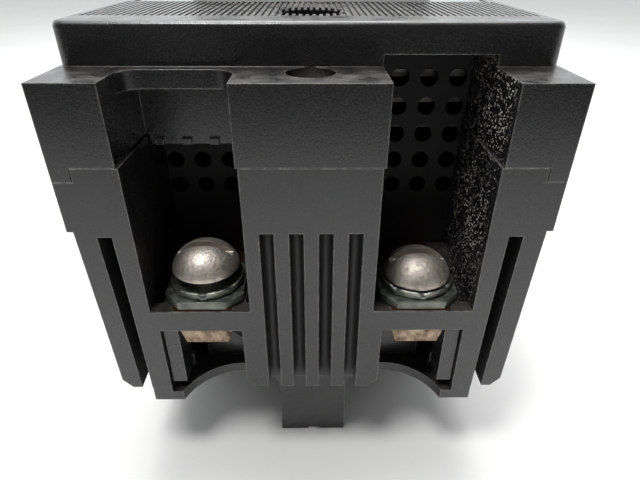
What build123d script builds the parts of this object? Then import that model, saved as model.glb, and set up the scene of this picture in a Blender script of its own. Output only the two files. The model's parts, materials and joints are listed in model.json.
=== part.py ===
"""Two-pole moulded case breaker, drawn switched on, in millimetres.

X runs across the poles, -Y is the line end, +Y is the load end and +Z points
out of the panel.  The origin is on the mounting plane, at the bottom centre.
"""
import os
from math import atan2, cos, degrees, hypot, radians, sin

from build123d import *

# overall sizes
case_width = 69.85
case_length = 160.3
cover_top = 76.2
escutcheon_top = 85.7

# levels of the moulding, above the mounting plane
underside = 14.9
wall_bottom = 18.1
shelf_bottom = 31.0
shelf_top = 34.9
side_step = 49.6
split = 57.3
tongue = 2.0
shoulder_top = 70.4
lip_thickness = 2.65
cover_ceiling = 73.2

# distances in from each end face
end_step = 9.7
terminal_inset = 6.7
cover_screw_inset = 6.3
mount_inset = 23.2
vent_inset = 21.2
barrier_neck = 13.0
pocket_back = 9.3
panel_inset = 14.0
lip_inset = 8.0
lip_corner = 3.2
keel_inset = 5.3
foot_inset = 30.0

# walls and pockets across the poles
pocket_width = 16.0
cover_flare = 0.35
neck_set_in = 1.8
skirt_flare = 1.6
joint_step = 2.8
joint_gap = 0.15
draft = 1.0
side_set_in = 0.9
chamber_offset = 2.94
chamber_half = 9.0
well_half = 9.8
well_length = 92.0
floor_level = 10.0
keel_half = 6.3
keel_flare = 2.0
plate_thick = 2.0
rib_width = 2.4

# fastening
mount_hole = 5.2
mount_access = 10.5
mount_seat = 20.0
cover_screw_head = 6.0
cover_screw_hole = 6.8
cover_screw_shank = 3.4

# terminals
screw_head = 10.9
screw_dome = 4.1
screw_shank = 5.8
screw_slot = 1.5
screw_length = 10.0
screw_fit = 0.05
washer_diameter = 11.7
washer_thickness = 0.9
washer_rim = 0.55
plate_size = 12.8
plate_corner = 2.6
plate_thickness = 1.4
strap_width = 9.5
strap_thickness = 1.6
strap_proud = 0.2
nut_width = 9.0
nut_depth = 9.0
nut_height = 3.2
line_left_backed_out = 2.1
line_right_backed_out = 0.6

# vent plate and arc chute
vent_thickness = 1.6
vent_hole = 3.0
vent_pitch = 4.76
vent_first_offset = 6.64
vent_first_z = 66.5
chute_side = 1.4
grid_count = 7
grid_pitch = 4.3
grid_thickness = 1.2
grid_first = 40.3
grid_clearance = 0.35
grid_throat = 47.5
grid_front = 35.0
notch_half = 4.3

# mechanism, as (y, z) points seen from the side
bar_axis = (8.0, 24.0)
handle_axis = (0.0, 52.0)
cradle_axis = (-14.0, 60.0)
frame_pin_places = ((-14.0, 18.0), (19.0, 44.0))
link_top = (-4.0, 56.0)
knee = (-1.8, 42.7)
link_foot = (-3.3, 27.4)
trip_axis = (35.0, 63.0)
handle_tilt = 16.0
barrel_radius = 30.5
barrel_thickness = 2.2
barrel_half_angle = 47.0
barrel_gap = 0.5
barrel_half = 9.3
grip_half = 7.5
grip_thickness = 8.0
grip_tip = 46.0
slot_half = 8.6
slot_length = 29.6
spring_bar_radius = 18.0
frame_inner = 6.95
frame_thickness = 1.2
link_thickness = 1.0
upper_link_x = 4.6
lower_link_x = 5.75
yoke_x = 8.3
yoke_thickness = 1.1
spring_x = 2.3
spring_radius = 1.6
spring_wire = 0.8
coil_pitch = 1.15
coil_start = 3.4
coil_shorter = 10.2
eye_length = 6.7
eye_width = 3.2
eye_drop = 1.96
pin_radius = 1.5
pivot_fit = 0.05
open_pivot = 0.9
bar_radius = 5.5
hub_radius = 8.5
arm_half = 3.0
tip_thickness = 1.6
tip_width = 5.0
tip_length = 6.0
contact_y = -40.0

# trip unit
bimetal_y = 44.0
bimetal_thickness = 1.2
bimetal_half = 3.5
bimetal_top = 69.0
magnet_height = 14.0
magnet_bottom = 40.0
armature_y = 36.6
armature_thickness = 1.2
trip_radius = 2.6
button_x = 19.0
button_y = 31.0
button_diameter = 5.0
button_nose = 1.4
button_nose_offset = 1.4
button_gap = 0.1
button_proud = 1.9

# label and grip ribs on the cover
rib_pitch = 1.0
rib_groove = 0.5
rib_depth = 0.35
rib_margin = 6.3
label_start = 38.8
label_recess = 0.5
label_half = 32.6
label_length = 12.0
groove_width = 2.1
groove_depth = 2.4
groove_pitch = 4.35
groove_top = 49.2

# derived places
half_width = case_width / 2
half_length = case_length / 2
tongue_top = split + tongue
tongue_half = half_width - joint_step
lower_half = half_width - side_set_in
foot_half = lower_half - draft
body_end = half_length - end_step
terminal_y = half_length - terminal_inset
terminal_x = case_width / 4
side_wall_inner = terminal_x + pocket_width / 2 + 0.2
shoulder_inner = side_wall_inner + cover_flare
base_barrier_half = terminal_x - pocket_width / 2 + 0.35
barrier_half = base_barrier_half + cover_flare
neck_half = base_barrier_half - neck_set_in
skirt_half = base_barrier_half + skirt_flare
chamber_centre = terminal_x + chamber_offset
groove_outer = half_width - 4.2
groove_inner = half_width - 6.8
rib_face = side_wall_inner - 1.2
rib_inner = rib_face - rib_width
plate_level = underside + plate_thick
strap_top = shelf_top + strap_proud
strap_bottom = strap_top - strap_thickness
plate_top = strap_top + plate_thickness
washer_top = plate_top + washer_thickness
vent_y = half_length - vent_inset
chamber_end = vent_y - vent_thickness
grid_back = chamber_end - grid_clearance
mount_y = half_length - mount_inset
chamber_inner = chamber_centre - chamber_half
chamber_outer = chamber_centre + chamber_half
lip_bottom = shoulder_top - lip_thickness
open_top = 72.0
arm_bottom = strap_top + 2 * tip_thickness
label_edge = half_length - label_start
SIDES = (-1, 1)
ENDS = (-1, 1)


def block(x_pair, y_pair, z_pair, mode=Mode.ADD):
    """Add or cut a rectangular block between three pairs of faces."""
    x0, x1 = sorted(x_pair)
    y0, y1 = sorted(y_pair)
    z0, z1 = sorted(z_pair)
    with BuildSketch(Plane.XY.offset(z0)) as face:
        with Locations(((x0 + x1) / 2, (y0 + y1) / 2)):
            Rectangle(x1 - x0, y1 - y0)
    extrude(face.sketch, amount=z1 - z0, mode=mode)


def side_profile(points, x_pair, mode=Mode.ADD):
    """Add or cut a prism along X whose outline is given as (y, z) points."""
    x0, x1 = sorted(x_pair)
    with BuildSketch(Plane.YZ.offset(x0)) as face:
        with BuildLine():
            Polyline(*points, close=True)
        make_face()
    extrude(face.sketch, amount=x1 - x0, mode=mode)


def end_profile(points, y_pair, mode=Mode.ADD):
    """Add or cut a prism along Y whose outline is given as (x, z) points."""
    y0, y1 = sorted(y_pair)
    with BuildSketch(Plane.XZ.offset(-y1)) as face:
        with BuildLine():
            Polyline(*points, close=True)
        make_face()
    extrude(face.sketch, amount=y1 - y0, mode=mode)


def plan_profile(points, z_pair, mode=Mode.ADD):
    """Add or cut a prism along Z whose outline is given as (x, y) points."""
    z0, z1 = sorted(z_pair)
    with BuildSketch(Plane.XY.offset(z0)) as face:
        with BuildLine():
            Polyline(*points, close=True)
        make_face()
    extrude(face.sketch, amount=z1 - z0, mode=mode)


def post(centre, radius, z_pair, mode=Mode.ADD):
    """Add or cut an upright cylinder."""
    z0, z1 = sorted(z_pair)
    with BuildSketch(Plane.XY.offset(z0)) as face:
        with Locations(centre):
            Circle(radius)
    extrude(face.sketch, amount=z1 - z0, mode=mode)


def rod(centre, radius, x_pair, mode=Mode.ADD):
    """Add or cut a cylinder along X, centred on a (y, z) point."""
    x0, x1 = sorted(x_pair)
    with BuildSketch(Plane.YZ.offset(x0)) as face:
        with Locations(centre):
            Circle(radius)
    extrude(face.sketch, amount=x1 - x0, mode=mode)


def bar_link(first, second, radius, x_pair, mode=Mode.ADD):
    """Add a flat round-ended link along X between two (y, z) points."""
    x0, x1 = sorted(x_pair)
    length = hypot(second[0] - first[0], second[1] - first[1])
    turn = degrees(atan2(second[1] - first[1], second[0] - first[0]))
    middle = ((first[0] + second[0]) / 2, (first[1] + second[1]) / 2)
    with BuildSketch(Plane.YZ.offset(x0)) as face:
        with Locations(middle):
            SlotCenterToCenter(length, 2 * radius, rotation=turn)
    extrude(face.sketch, amount=x1 - x0, mode=mode)


def polar(centre, radius, tilt):
    """Return the (y, z) point at a radius and a tilt from upright towards +Y."""
    return (
        centre[0] + radius * sin(radians(tilt)),
        centre[1] + radius * cos(radians(tilt)),
    )


def save(builder, label):
    """Name one finished piece and write it out."""
    builder.part.label = label
    export_step(builder.part, f"parts/{label}.step")


os.makedirs("parts", exist_ok=True)

# ---------------------------------------------------------------- base
body_outline = [
    (-foot_half, wall_bottom),
    (-lower_half, side_step),
    (-half_width, side_step),
    (-half_width, split),
    (-tongue_half, split),
    (-tongue_half, tongue_top),
    (tongue_half, tongue_top),
    (tongue_half, split),
    (half_width, split),
    (half_width, side_step),
    (lower_half, side_step),
    (foot_half, wall_bottom),
]
slot_gap = 0.3
with BuildPart() as base:
    end_profile(body_outline, (-half_length, half_length))
    foot_y = half_length - foot_inset
    end_profile(
        [
            (-foot_half, wall_bottom),
            (foot_half, wall_bottom),
            (foot_half - draft / 2, 0),
            (draft / 2 - foot_half, 0),
        ],
        (-foot_y, foot_y),
    )
    block((-groove_inner, groove_inner), (-half_length, half_length), (underside, wall_bottom))
    keel_y = half_length - keel_inset
    block((-keel_half, keel_half), (-keel_y, keel_y), (0, underside))
    for end in ENDS:
        edge = end * half_length
        for side in SIDES:
            # wire pocket above the shelf, and its wider part behind the barrier
            block(
                (side * base_barrier_half, side * side_wall_inner),
                (edge, end * (half_length - barrier_neck)),
                (shelf_top, tongue_top),
                Mode.SUBTRACT,
            )
            block(
                (side * neck_half, side * side_wall_inner),
                (end * (half_length - barrier_neck), end * vent_y),
                (shelf_top, tongue_top),
                Mode.SUBTRACT,
            )
            # open corners of the shelf beside the clamp plate
            for gap in ((base_barrier_half, terminal_x - 6.6), (terminal_x + 6.6, side_wall_inner)):
                block(
                    (side * gap[0], side * gap[1]),
                    (end * (half_length - 2.4), end * (half_length - 12.0)),
                    (shelf_bottom - 2.0, shelf_top),
                    Mode.SUBTRACT,
                )
            # pocket below the shelf
            block(
                (side * base_barrier_half, side * (rib_face + slot_gap)),
                (edge, end * (half_length - pocket_back)),
                (plate_level, shelf_bottom),
                Mode.SUBTRACT,
            )
            block(
                (side * (terminal_x + 2.6), side * rib_face),
                (end * (half_length - pocket_back), end * (half_length - 16.0)),
                (plate_level, 24.5),
                Mode.SUBTRACT,
            )
            # barrier skirt with chamfered lower corner
            end_profile(
                [
                    (side * neck_half, shelf_bottom),
                    (side * skirt_half, shelf_bottom),
                    (side * skirt_half, wall_bottom + 1.4),
                    (side * (skirt_half - 1.4), wall_bottom),
                    (side * neck_half, wall_bottom),
                ],
                (edge, end * (half_length - pocket_back)),
            )
            # guide rib and small post beside the wall
            block(
                (side * rib_inner, side * rib_face),
                (end * (half_length - 0.7), end * (half_length - 6.0)),
                (wall_bottom + 0.7, shelf_bottom),
            )
            block(
                (side * (rib_inner - 0.2), side * (rib_inner + 1.2)),
                (end * (half_length - 5.8), end * (half_length - 7.4)),
                (plate_level, 20.4),
            )
            # scalloped front edge of the bottom plate
            post(
                (side * (terminal_x - 4.4), end * (half_length + 3.65)),
                10.5,
                (underside, plate_level),
                Mode.SUBTRACT,
            )
            block(
                (side * base_barrier_half, side * (terminal_x - 4.9)),
                (edge, end * (half_length - 3.0)),
                (underside, wall_bottom),
                Mode.SUBTRACT,
            )
            # deep groove that leaves a thin rib down the outside of the wall
            end_profile(
                [
                    (side * groove_inner, underside),
                    (side * (groove_inner + 0.6), groove_top - 0.5),
                    (side * (groove_outer + 0.1), groove_top - 0.5),
                    (side * (groove_outer - 0.9), underside),
                ],
                (edge, end * (half_length - 8.0)),
                Mode.SUBTRACT,
            )
            # chamfered lower corner of the outer rib
            end_profile(
                [
                    (side * (foot_half - 1.5), wall_bottom),
                    (side * (foot_half + 0.6), wall_bottom + 2.4),
                    (side * (foot_half + 0.6), wall_bottom),
                ],
                (edge, end * foot_y),
                Mode.SUBTRACT,
            )
            # pole chamber
            inner_y = -34.0 if end < 0 else 0.0
            low = shelf_top if end < 0 else floor_level
            block(
                (side * chamber_inner, side * chamber_outer),
                (end * abs(inner_y), end * chamber_end),
                (low, tongue_top),
                Mode.SUBTRACT,
            )
            # seat for the vent plate
            if end < 0:
                block(
                    (side * neck_half, side * (side_wall_inner + 1.3)),
                    (-vent_y, -chamber_end),
                    (shelf_top, tongue_top),
                    Mode.SUBTRACT,
                )
            # channel that the terminal strap lies in
            block(
                (side * (terminal_x - strap_width / 2), side * (terminal_x + strap_width / 2)),
                (end * (half_length - 0.3), end * 50.0),
                (strap_bottom, strap_top + 0.1),
                Mode.SUBTRACT,
            )
            # hole that passes the terminal screw through the shelf
            post(
                (side * terminal_x, end * terminal_y),
                screw_shank / 2 + 0.3,
                (shelf_bottom - nut_height - 1.5, shelf_top),
                Mode.SUBTRACT,
            )
        # slots moulded in the face of the barrier
        for column in range(4):
            middle = (column - 1.5) * groove_pitch
            block(
                (middle - groove_width / 2, middle + groove_width / 2),
                (edge, end * (half_length - groove_depth)),
                (wall_bottom, groove_top),
                Mode.SUBTRACT,
            )
        # front of the barrier below its skirt is open behind the keel
        block(
            (-base_barrier_half, base_barrier_half),
            (edge, end * keel_y),
            (0, wall_bottom),
            Mode.SUBTRACT,
        )
        block(
            (-0.9, 0.9),
            (end * keel_y, end * (keel_y - 3.0)),
            (0, 0.9),
            Mode.SUBTRACT,
        )
        # flare where the keel meets the underside of the raised end
        for side in SIDES:
            root = (side * keel_half, underside)
            middle = (root[0] + side * keel_flare, root[1] - keel_flare)
            block((root[0], middle[0]), (end * foot_y, end * keel_y), (root[1], middle[1]))
            with BuildSketch(Plane.XZ.offset(-end * keel_y)) as hollow_corner:
                with Locations(middle):
                    Circle(keel_flare)
            extrude(hollow_corner.sketch, amount=end * (keel_y - foot_y), mode=Mode.SUBTRACT)
        # mounting screw and cover screw holes
        post((0, end * mount_y), mount_access / 2, (mount_seat, tongue_top), Mode.SUBTRACT)
        post((0, end * mount_y), mount_hole / 2, (0, mount_seat), Mode.SUBTRACT)
        post(
            (0, end * (half_length - cover_screw_inset)),
            cover_screw_shank / 2,
            (38.0, tongue_top),
            Mode.SUBTRACT,
        )
    for side in SIDES:
        # strap channel widens toward the contact
        block(
            (side * (terminal_x - strap_width / 2), side * (chamber_centre + strap_width / 2)),
            (-53.0, -34.0),
            (strap_bottom, shelf_top),
            Mode.SUBTRACT,
        )
        # room for the contact arm and the cross bar
        block(
            (side * chamber_inner, side * chamber_outer),
            (-34.0, 1.0),
            (floor_level, tongue_top),
            Mode.SUBTRACT,
        )
        # cross bar and trip bar pass through the walls beside the well
        block(
            (side * (well_half - 1.0), side * (chamber_inner + 1.0)),
            (bar_axis[0] - bar_radius - 0.8, bar_axis[0] + bar_radius + 0.8),
            (bar_axis[1] - bar_radius - 0.8, tongue_top),
            Mode.SUBTRACT,
        )
        block(
            (side * (well_half - 1.0), side * (chamber_inner + 1.0)),
            (trip_axis[0] - 6.0, trip_axis[0] + 6.0),
            (50.0, tongue_top),
            Mode.SUBTRACT,
        )
    # well for the mechanism between the poles
    block(
        (-well_half, well_half),
        (-well_length / 2 + 6.0, well_length / 2),
        (floor_level, tongue_top),
        Mode.SUBTRACT,
    )
save(base, "base")

# ---------------------------------------------------------------- cover
button_hole = button_diameter + 0.4
with BuildPart() as cover:
    block((-half_width, half_width), (-body_end, body_end), (split, cover_top))
    corner_edges = cover.edges().filter_by(Axis.Z)
    fillet(corner_edges, radius=2.0)
    top_edges = cover.faces().sort_by(Axis.Z)[-1].edges()
    fillet(top_edges, radius=0.8)
    side_profile(
        [
            (-27.5, cover_top - 1.0),
            (-24.5, escutcheon_top),
            (24.5, escutcheon_top),
            (27.5, cover_top - 1.0),
        ],
        (-25.0, 25.0),
    )
    for end in ENDS:
        edge = end * half_length
        for side in SIDES:
            block(
                (side * shoulder_inner, side * half_width),
                (edge, end * (body_end - 4.0)),
                (split, shoulder_top),
            )
            # hood over a closed pole
            if end > 0 or side < 0:
                block(
                    (side * barrier_half, side * shoulder_inner),
                    (end * (half_length - lip_inset), end * body_end),
                    (lip_bottom, shoulder_top),
                )
                for wall, inward in ((barrier_half, 1), (shoulder_inner, -1)):
                    corner = (side * wall, end * (half_length - lip_inset))
                    middle = (corner[0] + side * inward * lip_corner, corner[1] + end * lip_corner)
                    block((corner[0], middle[0]), (corner[1], middle[1]), (lip_bottom, shoulder_top))
                    post(middle, lip_corner, (lip_bottom, shoulder_top), Mode.SUBTRACT)
        block((-barrier_half, barrier_half), (edge, end * (body_end - 4.0)), (split, shoulder_top))
    # joint that drops over the tongue of the base
    block(
        (-tongue_half - joint_gap, tongue_half + joint_gap),
        (-half_length, half_length),
        (split, tongue_top),
        Mode.SUBTRACT,
    )
    for end in ENDS:
        for side in SIDES:
            is_open = end < 0 and side > 0
            roof = open_top if is_open else lip_bottom
            near = half_length if is_open else half_length - panel_inset
            # wire pocket, in front of and behind the barrier neck
            block(
                (side * barrier_half, side * shoulder_inner),
                (end * half_length, end * (half_length - barrier_neck)),
                (tongue_top, roof),
                Mode.SUBTRACT,
            )
            block(
                (side * neck_half, side * shoulder_inner),
                (end * (half_length - barrier_neck), end * vent_y),
                (tongue_top, roof),
                Mode.SUBTRACT,
            )
            # chamber roof above the arc chute or the trip unit
            block(
                (side * chamber_inner, side * (chamber_outer + 1.4)),
                (0, end * chamber_end),
                (tongue_top, cover_ceiling),
                Mode.SUBTRACT,
            )
            if end < 0:
                block(
                    (side * neck_half, side * (side_wall_inner + 1.3)),
                    (-vent_y, -chamber_end),
                    (tongue_top, 71.2),
                    Mode.SUBTRACT,
                )
            # panel that closes the top of a covered pole
            if not is_open:
                block(
                    (side * neck_half, side * shoulder_inner),
                    (end * near, end * (near - 1.5)),
                    (tongue_top, roof),
                )
                block(
                    (side * (neck_half + 0.2), side * (side_wall_inner - 0.2)),
                    (end * near, end * (near - 1.5)),
                    (split + 0.5, tongue_top),
                )
                for bump in range(4):
                    centre_x = side * (terminal_x + (bump - 1.5) * 4.3)
                    block(
                        (centre_x - 0.7, centre_x + 0.7),
                        (end * near, end * (near + 0.5)),
                        (split + 0.5, split + 1.5),
                    )
        # access to the mounting screws and the cover screws
        post((0, end * mount_y), mount_access / 2, (tongue_top, cover_top), Mode.SUBTRACT)
        screw_y = end * (half_length - cover_screw_inset)
        post((0, screw_y), cover_screw_hole / 2, (66.2, shoulder_top), Mode.SUBTRACT)
        post((0, screw_y), cover_screw_shank / 2 + 0.2, (tongue_top, 66.2), Mode.SUBTRACT)
        # fine ribs across the finger grip
        rib_start = body_end - rib_margin
        rib_length = rib_start - label_edge - 0.6
        with BuildSketch(Plane.XY.offset(cover_top - rib_depth)) as ribs:
            with Locations((0, end * (rib_start - rib_length / 2))):
                with GridLocations(rib_pitch, rib_length, 67, 1):
                    Rectangle(rib_groove, rib_length)
        extrude(ribs.sketch, amount=rib_depth, mode=Mode.SUBTRACT)
    # shallow recess for the label
    block(
        (-label_half, label_half),
        (-label_edge, label_length - label_edge),
        (cover_top - label_recess, cover_top),
        Mode.SUBTRACT,
    )
    # mechanism well, the hollow under the handle and its slot
    block(
        (-chamber_inner - 1.0, chamber_inner + 1.0),
        (-well_length / 2 + 6.0, well_length / 2),
        (tongue_top, cover_ceiling),
        Mode.SUBTRACT,
    )
    hollow = barrel_radius + barrel_gap
    rod(handle_axis, hollow, (-well_half - 0.1, well_half + 0.1), Mode.SUBTRACT)
    block(
        (-slot_half, slot_half),
        (-slot_length / 2, slot_length / 2),
        (escutcheon_top - 6.0, escutcheon_top),
        Mode.SUBTRACT,
    )
    post((button_x, button_y), button_hole / 2, (cover_ceiling - 1.0, cover_top), Mode.SUBTRACT)
save(cover, "cover")

with BuildPart() as cover_screws:
    for end in ENDS:
        centre = (0, end * (half_length - cover_screw_inset))
        post(centre, cover_screw_shank / 2, (40.0, 66.3))
        with BuildSketch(Plane.XY.offset(66.2)) as head:
            with Locations(centre):
                Circle(cover_screw_head / 2)
        extrude(head.sketch, amount=2.6, taper=12)
        block((-3.0, 3.0), (centre[1] - 0.5, centre[1] + 0.5), (67.9, 68.8), Mode.SUBTRACT)
save(cover_screws, "cover_screws")

with BuildPart() as rating_plate:
    block(
        (0.4 - label_half, label_half - 0.4),
        (0.4 - label_edge, label_length - label_edge - 0.4),
        (cover_top - label_recess, cover_top - 0.1),
    )
save(rating_plate, "rating_plate")

# ---------------------------------------------------------------- terminals
def terminal_screw(side, end, backed_out):
    """Return a slotted round head screw, raised by the distance it is backed out."""
    under = washer_top + backed_out
    centre = (side * terminal_x, end * terminal_y)
    head_half = screw_head / 2
    with BuildPart() as screw:
        post(centre, screw_shank / 2, (under - screw_length, under))
        with BuildSketch(Plane.XZ.offset(-centre[1])) as half:
            with BuildLine():
                Line((centre[0], under), (centre[0] + head_half, under))
                Line((centre[0] + head_half, under), (centre[0] + head_half, under + 0.5))
                ThreePointArc(
                    (centre[0] + head_half, under + 0.5),
                    (centre[0] + head_half * 0.68, under + screw_dome * 0.74),
                    (centre[0], under + screw_dome),
                )
                Line((centre[0], under + screw_dome), (centre[0], under))
            make_face()
        revolve(half.sketch, axis=Axis((centre[0], centre[1], 0), (0, 0, 1)))
        block(
            (centre[0] - screw_head, centre[0] + screw_head),
            (centre[1] - screw_slot / 2, centre[1] + screw_slot / 2),
            (under + screw_dome * 0.52, under + screw_dome + 1.0),
            Mode.SUBTRACT,
        )
    return screw


save(terminal_screw(-1, -1, line_left_backed_out), "terminal_screw_line_left")
save(terminal_screw(1, -1, line_right_backed_out), "terminal_screw_line_right")
save(terminal_screw(-1, 1, 0), "terminal_screw_load_left")
save(terminal_screw(1, 1, 0), "terminal_screw_load_right")

corners = [(side, end) for end in ENDS for side in SIDES]
terminal_centres = [(side * terminal_x, end * terminal_y) for side, end in corners]
hole_radius = screw_shank / 2 + screw_fit

with BuildPart() as clamp_plates:
    for centre in terminal_centres:
        near = plate_size / 2
        cut = near - plate_corner
        outline = [
            (centre[0] + x, centre[1] + y)
            for x, y in (
                (-near, -cut),
                (-cut, -near),
                (cut, -near),
                (near, -cut),
                (near, cut),
                (cut, near),
                (-cut, near),
                (-near, cut),
            )
        ]
        plan_profile(outline, (strap_top, plate_top))
        post(centre, hole_radius + 0.1, (strap_top, plate_top), Mode.SUBTRACT)
save(clamp_plates, "terminal_clamp_plates")

with BuildPart() as washers:
    for centre in terminal_centres:
        rim = washer_diameter / 2
        post(centre, rim, (plate_top, washer_top + washer_rim))
        post(centre, screw_head / 2 + 0.1, (washer_top, washer_top + washer_rim), Mode.SUBTRACT)
        post(centre, hole_radius + 0.1, (plate_top, washer_top), Mode.SUBTRACT)
        for turn in (20, 140, 260):
            tab = (centre[0] + rim * cos(radians(turn)), centre[1] + rim * sin(radians(turn)))
            post(tab, 0.7, (plate_top + 0.3, washer_top))
save(washers, "terminal_lock_washers")

with BuildPart() as nuts:
    for (side, end), centre in zip(corners, terminal_centres):
        outer = half_length - 0.8
        middle = centre[0]
        top_half = nut_width / 2
        end_profile(
            [
                (middle - top_half, shelf_bottom),
                (middle + top_half, shelf_bottom),
                (middle + top_half - 1.0, shelf_bottom - nut_height),
                (middle + 1.0 - top_half, shelf_bottom - nut_height),
            ],
            (end * outer, end * (outer - nut_depth + 0.6)),
        )
        post(centre, hole_radius, (shelf_bottom - nut_height, shelf_bottom), Mode.SUBTRACT)
save(nuts, "terminal_nuts")


def line_strap(side):
    """Return the copper strap from the line terminal to the fixed contact."""
    near = terminal_x - strap_width / 2
    far = terminal_x + strap_width / 2
    inner = chamber_centre - strap_width / 2
    outer = chamber_centre + strap_width / 2
    with BuildPart() as strap:
        plan_profile(
            [
                (side * near, -half_length + 0.3),
                (side * far, -half_length + 0.3),
                (side * far, -52.9),
                (side * outer, -52.9),
                (side * outer, -34.1),
                (side * inner, -34.1),
                (side * inner, -48.0),
                (side * near, -50.1),
            ],
            (strap_bottom, strap_top),
        )
        centre = (side * terminal_x, -terminal_y)
        post(centre, hole_radius + 0.1, (strap_bottom, strap_top), Mode.SUBTRACT)
    return strap


save(line_strap(-1), "line_strap_left")
save(line_strap(1), "line_strap_right")

with BuildPart() as fixed_tips:
    for side in SIDES:
        block(
            (side * (chamber_centre - tip_width / 2), side * (chamber_centre + tip_width / 2)),
            (contact_y - tip_length / 2, contact_y + tip_length / 2),
            (strap_top, strap_top + tip_thickness),
        )
save(fixed_tips, "fixed_contact_tips")


# ---------------------------------------------------------------- arc chute
def vent_plate(side):
    """Return the perforated plate that the arc gas leaves through."""
    with BuildPart() as plate:
        block(
            (side * (neck_half + 0.1), side * (side_wall_inner + 1.2)),
            (-vent_y + 0.05, -chamber_end - 0.05),
            (strap_top + 0.1, 71.1),
        )
        with BuildSketch(Plane.XZ.offset(vent_y)) as holes:
            for row in range(5):
                for column in range(4):
                    x = side * (terminal_x + vent_first_offset - column * vent_pitch)
                    with Locations((x, vent_first_z - row * vent_pitch)):
                        Circle(vent_hole / 2)
        extrude(holes.sketch, amount=-vent_thickness, mode=Mode.SUBTRACT)
    return plate


def chute_sides(side):
    """Return the two insulating cheeks of one arc chute."""
    with BuildPart() as cheeks:
        for face in SIDES:
            inner = side * chamber_centre + face * (chamber_half - 0.1 - chute_side)
            outer = side * chamber_centre + face * (chamber_half - 0.1)
            block((inner, outer), (-grid_back, -grid_front), (strap_top + 0.1, 70.5))
    return cheeks


def chute_grids(side):
    """Return the stack of notched steel plates that splits the arc."""
    half = chamber_half - 0.1 - chute_side
    middle = side * chamber_centre
    with BuildPart() as grids:
        for level in range(grid_count):
            bottom = grid_first + level * grid_pitch
            block(
                (middle - half, middle + half),
                (0.6 - grid_back, -grid_front - 0.6),
                (bottom, bottom + grid_thickness),
            )
            block(
                (middle - notch_half, middle + notch_half),
                (-grid_throat, -grid_front),
                (bottom, bottom + grid_thickness),
                Mode.SUBTRACT,
            )
    return grids


for side, word in ((-1, "left"), (1, "right")):
    save(vent_plate(side), f"vent_plate_{word}")
    save(chute_sides(side), f"arc_chute_cheeks_{word}")
    save(chute_grids(side), f"arc_grid_plates_{word}")

# ---------------------------------------------------------------- cross bar and arms
with BuildPart() as cross_bar:
    rod(bar_axis, bar_radius, (-chamber_outer + 0.3, chamber_outer - 0.3))
    bar_link(bar_axis, link_foot, 4.0, (-lower_link_x + 0.15, lower_link_x - 0.15))
    rod(link_foot, pin_radius, (-lower_link_x, lower_link_x), Mode.SUBTRACT)
save(cross_bar, "cross_bar")

with BuildPart() as link_pin:
    rod(link_foot, pin_radius, (-lower_link_x - 1.1, lower_link_x + 1.1))
save(link_pin, "cross_bar_link_pin")


def contact_arm(side):
    """Return one copper contact arm, clamped round the cross bar."""
    x_pair = (side * chamber_centre - arm_half, side * chamber_centre + arm_half)
    with BuildPart() as arm:
        side_profile(
            [
                (contact_y - tip_length / 2, arm_bottom),
                (contact_y + tip_length / 2 + 2.0, arm_bottom),
                (-12.0, 34.0),
                (bar_axis[0] - hub_radius + 1.5, bar_axis[1] - 3.0),
                (bar_axis[0] + 3.0, bar_axis[1] + hub_radius - 1.5),
                (-8.0, 42.0),
                (contact_y + tip_length / 2, arm_bottom + 4.6),
                (contact_y - tip_length / 2, arm_bottom + 2.6),
            ],
            x_pair,
        )
        rod(bar_axis, hub_radius, x_pair)
        rod(bar_axis, bar_radius, x_pair, Mode.SUBTRACT)
    return arm


save(contact_arm(-1), "contact_arm_left")
save(contact_arm(1), "contact_arm_right")

with BuildPart() as moving_tips:
    for side in SIDES:
        block(
            (side * (chamber_centre - tip_width / 2), side * (chamber_centre + tip_width / 2)),
            (contact_y - tip_length / 2, contact_y + tip_length / 2),
            (arm_bottom - tip_thickness, arm_bottom),
        )
save(moving_tips, "moving_contact_tips")


# ---------------------------------------------------------------- mechanism
frame_outline = [
    (-19.0, 12.0),
    (20.0, 12.0),
    (24.0, 20.0),
    (24.0, 54.0),
    (16.0, 66.5),
    (-16.0, 66.5),
    (-20.0, 62.0),
    (-22.0, 50.0),
    (-19.0, 36.0),
]


def side_frame(side):
    """Return one steel side frame of the operating mechanism."""
    x_pair = (side * frame_inner, side * (frame_inner + frame_thickness))
    with BuildPart() as plate:
        side_profile(frame_outline, x_pair)
        rod(bar_axis, bar_radius + 0.08, x_pair, Mode.SUBTRACT)
        rod(handle_axis, 2.0, x_pair, Mode.SUBTRACT)
        rod(cradle_axis, pin_radius, x_pair, Mode.SUBTRACT)
        for centre in frame_pin_places:
            rod(centre, pin_radius, x_pair, Mode.SUBTRACT)
        bar_link((-12.0, 34.0), (-12.0, 46.0), 2.2, x_pair, Mode.SUBTRACT)
    return plate


save(side_frame(-1), "mechanism_frame_left")
save(side_frame(1), "mechanism_frame_right")

frame_outer = frame_inner + frame_thickness
with BuildPart() as frame_pins:
    for centre in frame_pin_places:
        rod(centre, pin_radius, (-frame_outer, frame_outer))
        rod(centre, pin_radius + 0.8, (-frame_inner, frame_inner))
    for side in SIDES:
        rod(handle_axis, 2.0, (side * frame_inner, side * (yoke_x + yoke_thickness)))
save(frame_pins, "mechanism_frame_pins")

with BuildPart() as cradle_pin:
    rod(cradle_axis, pin_radius, (-frame_outer, frame_outer))
save(cradle_pin, "cradle_pin")

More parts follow.
